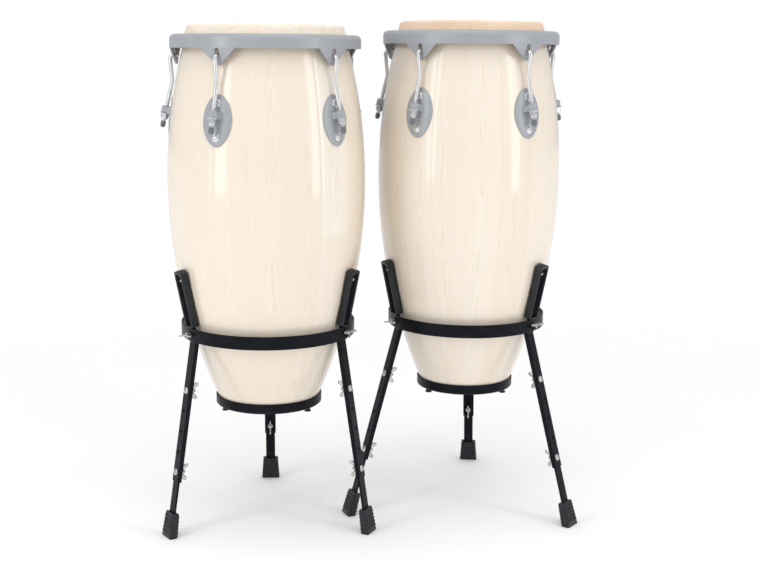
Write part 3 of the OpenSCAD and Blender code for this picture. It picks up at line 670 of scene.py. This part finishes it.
def vesica(height, width, tip, steps):
    """Pointed oval with softened tips: list of (y, z), anticlockwise from +Y."""
    arc = ((height / 2) ** 2 + (width / 2) ** 2) / width
    shift = arc - width / 2
    points = []
    for k in range(steps):
        a = TURN * k / steps
        c, s = math.cos(a), math.sin(a)
        # Distance from the centre to the arc on this side
        reach = -shift * abs(c) + math.sqrt(arc ** 2 - (shift * s) ** 2)
        limit = (height / 2 - tip) / max(abs(s), 1e-6)
        soft = (reach ** -14 + limit ** -14) ** (-1 / 14)
        points.append((soft * c, soft * s))
    return points


def build_plates(drum):
    """Domed side plates with a rolled edge, and the block that each hook passes through."""
    mesh = Mesh()
    outline = vesica(PLATE_H + 6 * MM, PLATE_W, 3 * MM, 96)
    # Share of the outline and height over the skin, from under the edge to the crown
    section = [(0.90, GAP), (0.985, GAP), (1.0, 0.5 * MM), (1.0, 1.7 * MM), (0.988, 2.5 * MM),
               (0.962, 3.05 * MM), (0.93, 3.25 * MM), (0.915, 3.2 * MM), (0.90, 3.35 * MM),
               (0.80, 3.7 * MM), (0.6, 4.1 * MM), (0.35, 4.35 * MM), (0.12, 4.4 * MM)]
    for i in LUGS:
        rings = []
        for share, lift in section:
            ring = []
            for y, z in outline:
                y, z = y * share, PLATE_MID + z * share
                r = drum.radius(z) + lift
                ring.append((math.sqrt(max(r * r - y * y, 0)), y, z))
            rings.append(ring)
        mesh.add(skin(rings), drum.hook(i)[0])
        mesh.add(hook_block(), drum.block(i))
    mesh.piece(drum, "side_plates", "drum", [GREY], "lug_plates", "satin_grey_steel", 40)


def hook_block():
    """A bored block, round outside and square towards the plate, with chamfered edges."""
    steps = 48
    nose_r, reach, flare = 8.3 * MM, 14 * MM, 2.6 * MM
    outer = []
    for k in range(steps):
        a = TURN * k / steps
        c, s = math.cos(a), math.sin(a)
        if c < 0:
            x, y = -reach * min(1.0, -c * 1.6), math.copysign(nose_r, s) * min(1.0, abs(s) * 1.8)
            y += math.copysign(flare * (abs(x) / reach) ** 2 * min(1.0, abs(s) * 2), s)
        else:
            x, y = nose_r * c, nose_r * s
        outer.append((x, y))
    bore = circle_arc(0, 0, HOOK_R + 0.35 * MM, 0, 360, steps)[:-1]
    half, nip = BLOCK_H / 2, 1.1 * MM

    def ring(points, scale, z):
        return [(x * scale, y * scale, z) for x, y in points]

    rings = [ring(bore, 1, -half + 0.4 * MM), ring(bore, 1.12, -half), ring(outer, 0.88, -half),
             ring(outer, 0.96, -half + 0.35 * nip), ring(outer, 1, -half + nip), ring(outer, 1, half - nip),
             ring(outer, 0.96, half - 0.35 * nip), ring(outer, 0.88, half), ring(bore, 1.12, half),
             ring(bore, 1, half - 0.4 * MM)]
    return skin(rings, closed=True)


def thread_cut(s, angle, pitch):
    """How deep a right-hand thread cuts at distance s along it: 0 on its crest, 1 at its root."""
    turn = (s / pitch - angle / TURN) % 1.0
    return 1 - abs(2 * turn - 1)


def hook_path(drum, i):
    """(centre line as (position, direction, distance from the lower end) samples, end of the thread)."""
    _, block_r, block_h, lean = drum.hook(i)
    along = Vector((-math.sin(lean), math.cos(lean)))
    block = Vector((block_r, block_h))
    top_z = drum.box(f"tuning_hook_{i}")[1].z - drum.seat - HOOK_R
    corners = [block - HOOK_LOW * along, block + HOOK_KNEE * along,
               Vector((drum.rim_r + HOOK_R + HOOK_TOP_OUT, top_z)),
               Vector((drum.rim_r - HOOK_END_IN, top_z))]
    ways = [(b - a).normalized() for a, b in zip(corners, corners[1:])]
    samples, travelled = [], 0.0
    threaded_to = HOOK_LOW + THREAD_ABOVE
    start = corners[0]
    for k, way in enumerate(ways):
        last = k == len(ways) - 1
        turn = 0 if last else way.angle_signed(ways[k + 1])
        bend = 0 if last else HOOK_BENDS[k]
        cut = bend * math.tan(abs(turn) / 2)
        end = corners[k + 1] - cut * way
        length = (end - start).length
        done = 0.0
        while done < length:
            samples.append((start + done * way, way, travelled + done))
            done += THREAD_PITCH / 5 if travelled + done < threaded_to else 3 * MM
        travelled += length
        samples.append((end.copy(), way, travelled))
        if not last:
            side = Vector((way.y, -way.x)) * math.copysign(1, turn)
            centre = end + side * bend
            for step in range(1, 10):
                a = -turn * step / 10
                arm = end - centre
                arm.rotate(Matrix.Rotation(a, 2))
                direction = way.copy()
                direction.rotate(Matrix.Rotation(a, 2))
                samples.append((centre + arm, direction, travelled + bend * abs(a)))
            travelled += bend * abs(turn)
            start = corners[k + 1] + cut * ways[k + 1]
    return samples, threaded_to


def build_hook(drum, i):
    """A bent hook with a cut thread on its lower end, and the cap on its tip."""
    samples, threaded_to = hook_path(drum, i)
    total = samples[-1][2]
    steps, cut_depth = 24, 0.558 * MM
    rings = []
    for spot, way, s in samples:
        side = Vector((way.y, -way.x))
        fade = max(0.0, min(1.0, (threaded_to - s) / (2 * MM)))
        rounding = max(0.0, 1 - (total - s) / (1.2 * MM))
        shrink = math.sqrt(max(1 - (rounding * 0.8) ** 2, 0.05))
        ring = []
        for k in range(steps):
            a = TURN * k / steps
            r = (HOOK_R - cut_depth * thread_cut(s, a, THREAD_PITCH) * fade) * shrink
            across = r * math.cos(a)
            ring.append((spot.x + side.x * across, r * math.sin(a), spot.y + side.y * across))
        rings.append(ring)
    Mesh().add(skin(rings), drum.hook(i)[0]).piece(
        drum, f"hook_rod_{i}", f"hook_{i}", [CHROME], f"tuning_hook_{i}", "chrome", 60)
    at_tip = drum.block(i) @ Matrix.Translation((0, 0, -HOOK_LOW - CAP_FLOOR))
    cap_r = 4.5 * MM
    profile = [(0.25 * MM, -cap_r)] + circle_arc(0, 0, cap_r, -80, 0, 7)
    profile += [(cap_r, 1.5 * MM), (cap_r, 4.5 * MM), (cap_r, 6.4 * MM), (4.3 * MM, 7.0 * MM),
                (3.95 * MM, 7.35 * MM), (3.6 * MM, 7.4 * MM)]

    def fluted(r, z, angle):
        deep = 0.3 * MM * max(0.0, math.cos(12 * angle)) if 0.5 * MM < z < 6.6 * MM else 0
        return r - deep, z

    Mesh().add(skin(spin(profile, 72, fluted)), at_tip).piece(
        drum, f"hook_cap_{i}", f"hook_{i}", [CAP], None, "black_rubber", 50)


def hexagon(corner_r, angle):
    """A hexagon's radius at an angle."""
    return corner_r * math.cos(math.pi / 6) / math.cos(angle % (math.pi / 3) - math.pi / 6)


def build_nut(drum, i):
    """A tuning nut: dished washer face, collar and chamfered hexagon."""
    under_block = drum.block(i) @ Matrix.Translation((0, 0, -BLOCK_H / 2 - GAP))
    flange, corner, sleeve, bore = 10 * MM, 7.4 * MM, 5.6 * MM, HOOK_R + 0.12 * MM
    low = -12 * MM
    profile = [(bore, 0), (flange - 0.5 * MM, 0), (flange, -0.3 * MM), (flange, -0.9 * MM),
               (flange - 0.6 * MM, -1.3 * MM), (corner + 1.0 * MM, -1.75 * MM),
               (corner + 0.3 * MM, -2.1 * MM), (corner, -2.6 * MM), (corner, -5 * MM),
               (corner, -8.4 * MM), (corner - 0.4 * MM, -9.0 * MM), (corner - 1.0 * MM, -9.6 * MM),
               (sleeve + 0.1 * MM, -9.95 * MM), (sleeve, -10.2 * MM), (sleeve, -11.6 * MM),
               (sleeve - 0.4 * MM, low), (bore + 0.4 * MM, low), (bore, low + 0.4 * MM)]

    def hexed(r, z, angle):
        if -9.7 * MM < z < -1.9 * MM and r > bore + 0.5 * MM:
            return min(r, hexagon(corner, angle)), z
        return r, z

    Mesh().add(skin(spin(profile, 72, hexed), closed=True), under_block).piece(
        drum, f"lug_nut_{i}", f"nut_{i}", [CHROME], f"tuning_nut_{i}", "chrome", 25)


def build_bumpers(drum):
    """Rubber stubs under the band, with a collar and a rounded tip."""
    mesh = Mesh()
    low, high = drum.box("bumpers")
    height = high.z - low.z
    ring_r = drum.radius(0) + 1 * MM
    profile = [(0.2 * MM, height), (4.8 * MM, height), (4.9 * MM, 3 * MM), (6.3 * MM, 2.4 * MM)]
    profile += circle_arc(5.2 * MM, 1.2 * MM, 1.2 * MM, 0, -85, 5) + [(0.2 * MM, 0)]
    for i in range(3):
        place = about(drum.base, math.radians(FIRST_BUMPER[drum.name] + 120 * i))
        mesh.add(skin(spin(profile, 32)), place @ Matrix.Translation((ring_r, 0, -height)))
    mesh.piece(drum, "bumper_stubs", "drum", [RUBBER], "bumpers", "black_rubber", 50)


# ---------------------------------------------------------------- the stand

def wing_nut():
    """A cast wing nut on z = 0: tapered boss, two flared wings and a chamfered bore."""
    bore = CLAMP_R + 0.15 * MM
    boss = [(bore, 0.3 * MM), (bore + 0.4 * MM, 0), (6.0 * MM, 0), (6.5 * MM, 0.5 * MM), (6.4 * MM, 1.8 * MM),
            (5.7 * MM, 4.0 * MM), (5.2 * MM, 7.0 * MM), (5.05 * MM, 8.3 * MM), (4.5 * MM, 9.0 * MM),
            (bore + 0.4 * MM, 9.0 * MM), (bore, 8.6 * MM)]
    parts = [skin(spin(boss, 40), closed=True)]
    steps = 14
    for side in (1, -1):
        rings = []
        for k in range(steps + 1):
            t = k / steps
            # The wing leaves the boss sideways and curls a little upward
            x = (3.2 + 12.4 * t - 1.2 * t * t) * MM
            z = (2.6 + 12.0 * t + 2.2 * t * t) * MM
            slope = math.radians(49 + 8 * t)
            width = (2.9 + 1.2 * math.sin(math.pi * min(1.0, t * 0.8))) * MM
            thick = (1.9 - 0.6 * t) * MM
            if t > 0.74:
                width *= math.sqrt(max(1 - ((t - 0.74) / 0.27) ** 2, 0.02))
                thick *= math.sqrt(max(1 - ((t - 0.74) / 0.29) ** 4, 0.10))
            ring = []
            for u, v in superellipse(width, thick, 20, 2.6):
                ring.append((side * (x - u * math.sin(slope)), v * side, z + u * math.cos(slope)))
            rings.append(ring)
        parts.append(skin(rings))
    return parts


def carriage_bolt(head_r, head_h, length, threaded):
    """A domed bolt standing in +Z with its head's underside at z = 0 and a thread on its lower end."""
    profile = [(0.2 * MM, 0), (head_r * 0.97, -0.02 * MM), (head_r, 0.35 * MM)]
    for k in range(1, 8):
        a = math.radians(88) * (1 - k / 8)
        profile.append((head_r * math.sin(a), max(head_h * math.cos(a), 0.5 * MM)))
    head = skin(spin(profile + [(0.2 * MM, head_h)], 40))
    steps, cut_depth = 20, 0.5 * MM
    rings = []
    s = 0.0
    while s <= length:
        depth = cut_depth if s < threaded else 0.0
        taper = 1 - 0.28 * max(0.0, 1 - s / (0.9 * MM))
        ring = []
        for k in range(steps):
            a = TURN * k / steps
            r = (CLAMP_R - 0.05 * MM - depth * thread_cut(s, a, CLAMP_PITCH)) * taper
            ring.append((r * math.cos(a), r * math.sin(a), -length + s))
        rings.append(ring)
        s += 0.2 * MM if s < threaded else 4 * MM
    rings.append([(x, y, 0.2 * MM) for x, y, _ in rings[-1]])
    return [head, skin(rings)]


def build_fasteners(drum):
    """Clamp bolts, ring bolts and wing nuts of one stand."""
    bolts, nuts = Mesh(), Mesh()

    def fasten(bolt_place, nut_place, head_h, threaded):
        for part in carriage_bolt(CLAMP_HEAD_R, head_h, CLAMP_LEN, threaded):
            bolts.add(part, bolt_place)
        for part in wing_nut():
            nuts.add(part, nut_place)

    for i in LEGS:
        leg, _ = drum.leg(i)
        for down in HOLES_FROM_TOP:
            outward = leg @ Matrix.Translation((GAP, 0, down)) @ Matrix.Rotation(math.pi / 2, 4, "Y")
            inward = leg @ Matrix.Translation((-BAR_OFF - BAR_T - GAP, 0, down))
            fasten(outward, inward @ Matrix.Rotation(-math.pi / 2, 4, "Y"), 3.6 * MM, 12 * MM)
        ring = drum.ring_bolt(i)
        head = ring @ Matrix.Translation((0, 0, -2 * STRAP_T - 1 * MM - GAP))
        spread = ring @ Matrix.Translation((0, 0, GAP)) @ Matrix.Rotation(math.radians(104), 4, "Z")
        fasten(head @ Matrix.Rotation(math.pi, 4, "X"), spread, 3 * MM, 11 * MM)
    bolts.piece(drum, "carriage_bolts", "stand", [NICKEL], "clamp_bolts", "zinc_steel", 45)
    nuts.piece(drum, "wing_nut_set", "stand", [NICKEL], "wing_nuts", "chrome", 55)


def arch_outline(half_w, low, high, rise, radius, steps=6):
    """Outline of a pad's front: square foot with rounded corners, arched top. Anticlockwise (y, z)."""
    points = circle_arc(half_w - radius, low + radius, radius, -90, 0, steps)
    big = (half_w ** 2 + rise ** 2) / (2 * rise)
    open_angle = math.degrees(math.asin((half_w - radius) / big))
    side_top = high - rise
    points += circle_arc(half_w - radius, side_top - radius * 0.2, radius, 0, 90 - open_angle, steps)
    points += circle_arc(0, high - big, big, 90 - open_angle, 90 + open_angle, steps * 2)[1:-1]
    points += circle_arc(-half_w + radius, side_top - radius * 0.2, radius, 90 + open_angle, 180, steps)
    points += circle_arc(-half_w + radius, low + radius, radius, 180, 270, steps)
    return points


def inset(points, amount, middle):
    """Points moved towards a middle line by a distance, for soft pad edges."""
    moved = []
    for y, z in points:
        dy, dz = y, z - middle
        length = math.hypot(dy, dz * 0.3)
        moved.append((y - amount * dy / max(length, 1e-6), z - amount * math.copysign(1, dz) *
                      min(1.0, abs(dz) / (abs(middle) + 1e-6))))
    return moved


def build_pads(drum):
    """Rubber pads: a block with soft edges, a recess for the strap and two screws near the top."""
    rubbers, screws = Mesh(), Mesh()
    inner, face, lip = -STRAP_T / 2 - PAD_RUBBER, STRAP_T / 2, STRAP_T / 2 + PAD_LIP
    half_w, pocket_w, rise, hollow = 14.5 * MM, 11.2 * MM, 5 * MM, 0.55 * MM
    low = 2.05 * MM
    high = low + PAD_LEN
    middle = (low + high) / 2
    outer_line = arch_outline(half_w, low, high, rise, 2.2 * MM)
    pocket_line = arch_outline(pocket_w, low - 0.6 * MM, high - 6.5 * MM, rise, 1.2 * MM)

    def ring(line, x, pull=0.0, grip=0.0):
        return [(x + grip * (y / half_w) ** 2, y, z) for y, z in inset(line, pull, middle)]

    # From the face that grips the shell, out round the lip and down into the recess
    rings = [ring(outer_line, inner, 6.5 * MM, hollow), ring(outer_line, inner, 2.4 * MM, hollow),
             ring(outer_line, inner + 0.25 * MM, 1.0 * MM, hollow),
             ring(outer_line, inner + 0.8 * MM, 0.3 * MM, hollow),
             ring(outer_line, inner + 1.6 * MM), ring(outer_line, 0), ring(outer_line, lip - 1.4 * MM),
             ring(outer_line, lip - 0.6 * MM, 0.25 * MM), ring(outer_line, lip - 0.15 * MM, 0.8 * MM),
             ring(outer_line, lip, 1.4 * MM), ring(pocket_line, lip, -0.5 * MM),
             ring(pocket_line, lip - 0.5 * MM), ring(pocket_line, face + 0.1 * MM, 0.1 * MM),
             ring(pocket_line, face - 0.4 * MM, 3 * MM)]
    dome = [(0.15 * MM, 0), (3.0 * MM, 0), (3.0 * MM, 0.8 * MM), (2.5 * MM, 1.5 * MM),
            (1.6 * MM, 1.9 * MM), (1.0 * MM, 1.95 * MM), (0.8 * MM, 1.3 * MM), (0.15 * MM, 1.25 * MM)]
    for i in LEGS:
        place = drum.arm(i)
        rubbers.add(skin(rings), place)
        for side in (-1, 1):
            spot = place @ Matrix.Translation((face - 0.3 * MM, side * 4.6 * MM, high - 20 * MM))
            screws.add(skin(spin(dome, 20)), spot @ Matrix.Rotation(math.pi / 2, 4, "Y"))
    rubbers.piece(drum, "rubber_pads", "stand", [RUBBER], "pads", "black_rubber", 55)
    screws.piece(drum, "pad_screws", "stand", [NICKEL], None, "zinc_steel", 40)


def build_foot(drum, i):
    """A moulded boot that widens to the floor, with rows of studs on its outer and inner faces."""
    leg, to_floor = drum.leg(i)
    middle = -BAR_OFF - BAR_T / 2
    top = to_floor - FOOT_LEN
    down = leg.to_3x3() @ Vector((0, 0, 1))
    mesh = Mesh()

    def size(s):
        t = (s - top) / (FOOT_LEN + 12 * MM)
        return (15 + 4 * t) * MM, (7 + t) * MM

    rings = []
    for s, pull in ((0, 4.5), (0, 1.8), (0.5, 0.7), (1.4, 0.1), (2.4, 0), (12, 0), (24, 0), (36, 0)):
        across, through = size(top + s * MM)
        line = rounded_box(through - pull * MM, across - pull * MM, max(2.6 - pull, 0.8) * MM, 5)
        rings.append([(x + middle, y, top + s * MM) for x, y in line])
    for lift, pull in ((1.6, 0), (0.5, 0.4), (0.0, 1.2)):
        across, through = size(to_floor)
        ring = []
        for x, y in rounded_box(through - pull * MM, across - pull * MM, (2.6 - pull * 0.5) * MM, 5):
            start = leg @ Vector((x + middle, y, 0))
            ring.append((x + middle, y, (start.z - lift * MM) / -down.z))
        rings.append(ring)
    mesh.add(skin(rings), leg)
    for face in (1, -1):
        for row in range(5):
            s = top + (8 + row * 7.0) * MM
            across, through = size(s)
            half_y, half_s = across * 0.165, 2.5 * MM
            for column in range(4):
                y = (column - 1.5) * across * 0.455
                stud = []
                for lift, pull in ((-0.6, 0), (0.95, 0.2), (1.4, 0.8)):
                    x = face * (through + lift * MM) + middle
                    line = rounded_box(half_y - pull * MM, half_s - pull * MM, 0.8 * MM, 3)
                    stud.append([(x, y + u, s + v) for u, v in line])
                mesh.add(skin(stud), leg)
    mesh.piece(drum, f"boot_{i}", f"leg_{i}", [RUBBER], f"foot_{i}", "black_rubber", 45)


def paint_cad(drum):
    """Materials for the CAD nodes that stay as they are."""
    finishes = {"rim": GREY, "flesh_hoop": NICKEL, "lug_bolts": CHROME, "lug_bolt_nuts": NICKEL,
                "bottom_band": BLACK, "stand_ring": BLACK, "upper_legs": BLACK}
    finishes.update({f"lower_leg_{i}": BLACK for i in LEGS})
    for part, material in finishes.items():
        node = frame["nodes"][f"{drum.name}_{part}"]
        node.data.materials.clear()
        node.data.materials.append(material)


# ---------------------------------------------------------------- studio

# Name, place, what it points at, width, height and power
LAMPS = (("left_strip", (-1.7, -1.5, 1.25), (-0.1, 0, 0.6), 0.5, 1.8, 10),
         ("right_strip", (1.9, -1.2, 1.2), (0.1, 0, 0.6), 0.45, 1.8, 8.5),
         ("overhead", (0.0, -0.6, 2.7), (0, 0, 0.4), 2.2, 1.6, 10))
FLOOR_HALF = 12.0
EYE_FROM_MIDDLE = Vector((0.0233, -2.3388, 0.8775))
EYE_PITCH, EYE_ROLL = math.radians(79.45), math.radians(-0.44)
LENS, SENSOR_W, EYE_SHIFT = 59.0, 36.0, -0.0040


def area_light(name, location, target, width, height, power):
    light = bpy.data.lights.new(name, "AREA")
    light.shape = "RECTANGLE"
    light.size, light.size_y, light.energy = width, height, power
    way = Vector(target) - Vector(location)
    put(name, light, location).rotation_euler = way.to_track_quat("-Z", "Y").to_euler()


def build_studio(middle):
    """Floor, surroundings, three soft lights, and a camera in front of the drums."""
    scene = bpy.context.scene
    mesh = bpy.data.meshes.new("studio_floor")
    corners = [(x * FLOOR_HALF, y * FLOOR_HALF, 0) for x, y in ((-1, -1), (1, -1), (1, 1), (-1, 1))]
    mesh.from_pydata(corners, [], [(0, 1, 2, 3)])
    mesh.materials.append(floor_paint())
    put("studio_floor", mesh)
    scene.world = studio_world()
    for lamp in LAMPS:
        area_light(*lamp)
    scene.view_settings.view_transform = "Standard"
    camera = bpy.data.cameras.new("camera")
    camera.lens, camera.sensor_width, camera.shift_x = LENS, SENSOR_W, EYE_SHIFT
    scene.camera = put("camera", camera, middle + EYE_FROM_MIDDLE)
    scene.camera.rotation_euler = (EYE_PITCH, EYE_ROLL, 0)


drums = [Drum("conga"), Drum("quinto")]
for number, drum in enumerate(drums):
    build_shell(drum, 11 + 6 * number)
    build_head(drum, 3 + number)
    build_plates(drum)
    build_bumpers(drum)
    build_pads(drum)
    build_fasteners(drum)
    for i in LUGS:
        build_hook(drum, i)
        build_nut(drum, i)
    for i in LEGS:
        build_foot(drum, i)
    paint_cad(drum)
build_studio((drums[0].axis + drums[1].axis) / 2)
